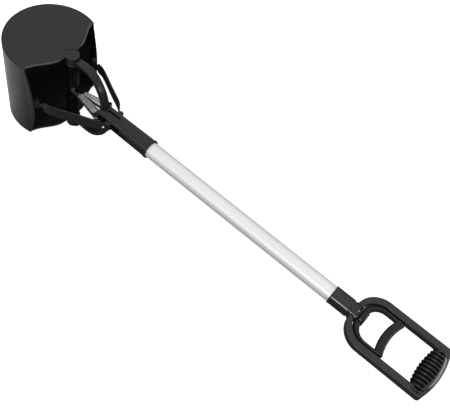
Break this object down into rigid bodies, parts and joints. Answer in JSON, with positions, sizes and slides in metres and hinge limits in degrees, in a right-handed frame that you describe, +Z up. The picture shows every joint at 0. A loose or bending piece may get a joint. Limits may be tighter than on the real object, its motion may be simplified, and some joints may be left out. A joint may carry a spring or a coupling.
{
  "type": "pooper scooper",
  "caption": "Spring-closed jaw scooper on a straight tube, with half-drum jaws on a forked neck, worked by a trigger in a D-shaped handle.",
  "frame": {"origin": "middle of the closed tool's bounding box in X and Y, on the ground under its lowest face in Z", "axes": "+X along the tube from the jaws to the handle, +Y to the right-hand jaw seen from the handle, +Z up along the hinge rod"},
  "size_m": [0.803, 0.144, 0.1588],
  "materials": {
    "black_gloss_plastic": "smooth moulded, soft gloss",
    "black_satin_plastic": "moulded, satin",
    "black_rubber": "soft grip rubber",
    "satin_aluminium": "drawn tube, satin silver",
    "plated_steel": "zinc plated",
    "spring_steel": "bright drawn wire"
  },
  "bodies": {
    "frame": {"neck": "black_satin_plastic", "neck_screw": "plated_steel", "shaft_tube": "satin_aluminium", "handle_upper": "black_gloss_plastic", "handle_lower": "black_gloss_plastic", "collar_screw": "plated_steel", "handle_screw_front_left": "plated_steel", "handle_screw_front_right": "plated_steel", "handle_screw_rear_left": "plated_steel", "handle_screw_rear_right": "plated_steel", "grip": "black_rubber", "hinge_rod": "plated_steel", "hinge_cap": "plated_steel", "left_spring": "spring_steel", "right_spring": "spring_steel"},
    "trigger_train": {"trigger": "black_satin_plastic", "pull_rod": "plated_steel", "rod_nut": "plated_steel", "slider": "black_satin_plastic", "left_spring_pin": "plated_steel", "right_spring_pin": "plated_steel"},
    "left_jaw_body": {"left_jaw": "black_gloss_plastic", "left_lug_pin": "plated_steel"},
    "right_jaw_body": {"right_jaw": "black_gloss_plastic", "right_lug_pin": "plated_steel"},
    "left_arm_body": {"left_pull_arm": "black_satin_plastic", "left_arm_pin": "plated_steel"},
    "right_arm_body": {"right_pull_arm": "black_satin_plastic", "right_arm_pin": "plated_steel"}
  },
  "joints": [
    {"name": "trigger_pull", "type": "slide", "parent": "frame", "child": "trigger_train", "axis": [1, 0, 0], "range_m": [0, 0.02826], "stiffness_N_per_m": 900, "springref_m": -0.004, "deforming": ["left_spring", "right_spring"]},
    {"name": "left_jaw_swing", "type": "hinge", "parent": "frame", "child": "left_jaw_body", "pos_m": [-0.2865, 0, 0.0838], "axis": [0, 0, 1], "range_deg": [0, 26.02]},
    {"name": "right_jaw_swing", "type": "hinge", "parent": "frame", "child": "right_jaw_body", "pos_m": [-0.2865, 0, 0.0838], "axis": [0, 0, 1], "range_deg": [-26.02, 0]},
    {"name": "left_arm_swing", "type": "hinge", "parent": "left_jaw_body", "child": "left_arm_body", "pos_m": [-0.3015, -0.061, 0.0838], "axis": [0, 0, 1], "range_deg": [-26.02, 0]},
    {"name": "right_arm_swing", "type": "hinge", "parent": "right_jaw_body", "child": "right_arm_body", "pos_m": [-0.3015, 0.061, 0.0838], "axis": [0, 0, 1], "range_deg": [0, 26.02]}
  ],
  "couplings": [
    {"joint": "left_jaw_swing", "follows": "trigger_pull", "rad_per_m": 16.058},
    {"joint": "right_jaw_swing", "follows": "trigger_pull", "rad_per_m": -16.058},
    {"joint": "left_arm_swing", "follows": "trigger_pull", "rad_per_m": -16.058},
    {"joint": "right_arm_swing", "follows": "trigger_pull", "rad_per_m": 16.058}
  ]
}
